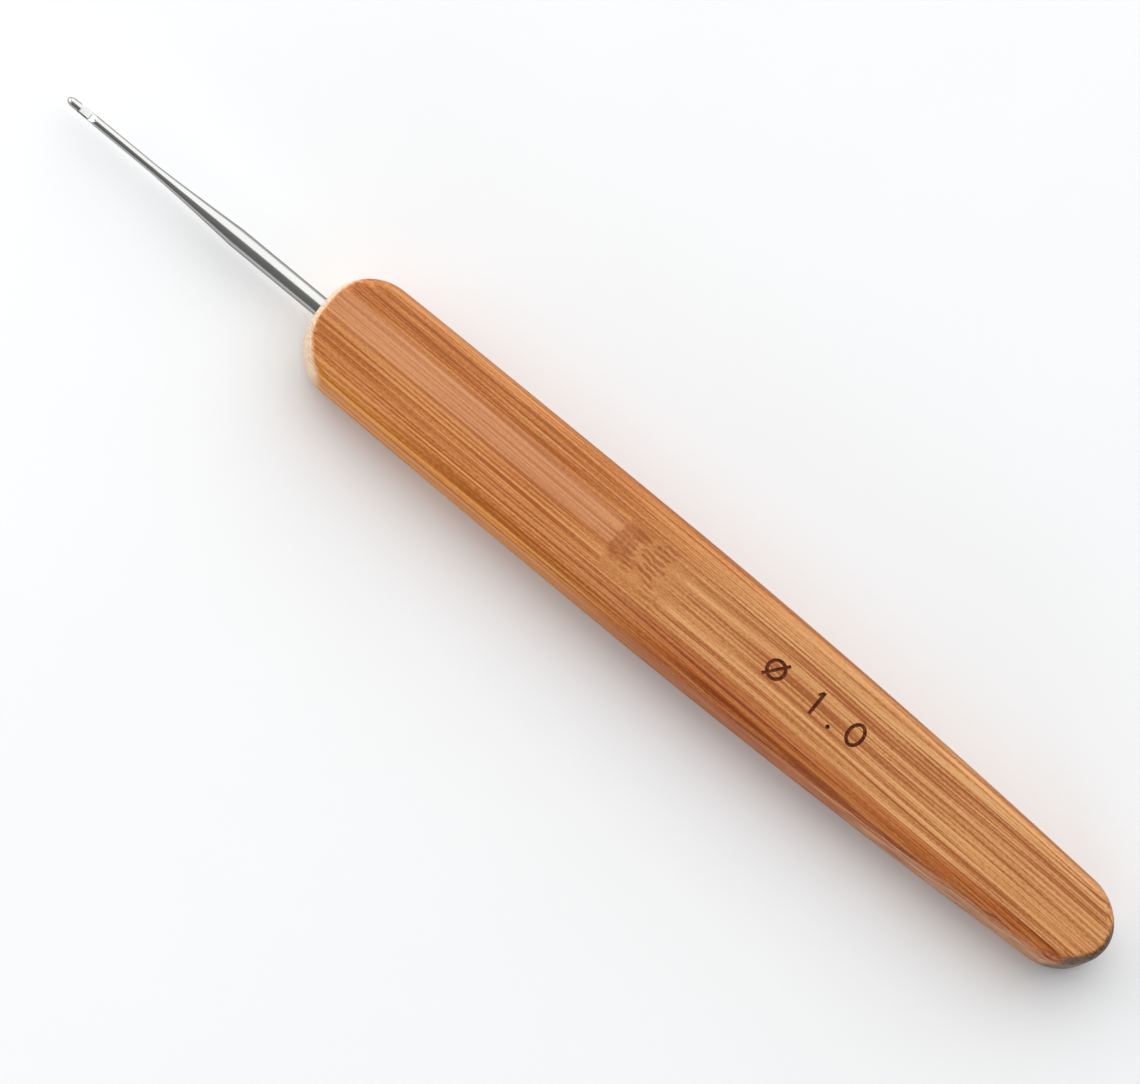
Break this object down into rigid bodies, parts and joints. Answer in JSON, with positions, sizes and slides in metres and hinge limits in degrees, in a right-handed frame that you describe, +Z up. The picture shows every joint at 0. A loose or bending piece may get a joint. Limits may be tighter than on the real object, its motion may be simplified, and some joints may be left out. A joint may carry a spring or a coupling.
{
  "type": "crochet hook",
  "caption": "Fine steel crochet hook with a filed, undercut throat and a tapered shank, glued into a flat rounded bamboo handle that widens in the middle.",
  "frame": {"origin": "middle of the object's footprint, on the plane of the handle's flat underside", "axes": "+X along the hook from the tip to the butt of the handle, +Z up through the flat top face, which is the side the hook's mouth opens to, +Y to the left when looking along +X"},
  "size_m": [0.135, 0.013, 0.0078],
  "materials": {
    "steel": "polished, nickel-plated steel",
    "bamboo": "carbonised bamboo, sanded smooth with a thin satin varnish",
    "adhesive": "cured clear amber epoxy, hidden in the bore"
  },
  "bodies": {
    "root": {"hook_head": "steel", "needle_shank": "steel", "bamboo_strip_centre": "bamboo", "bamboo_strip_plus_y": "bamboo", "bamboo_strip_minus_y": "bamboo", "tang_adhesive": "adhesive"}
  },
  "joints": []
}
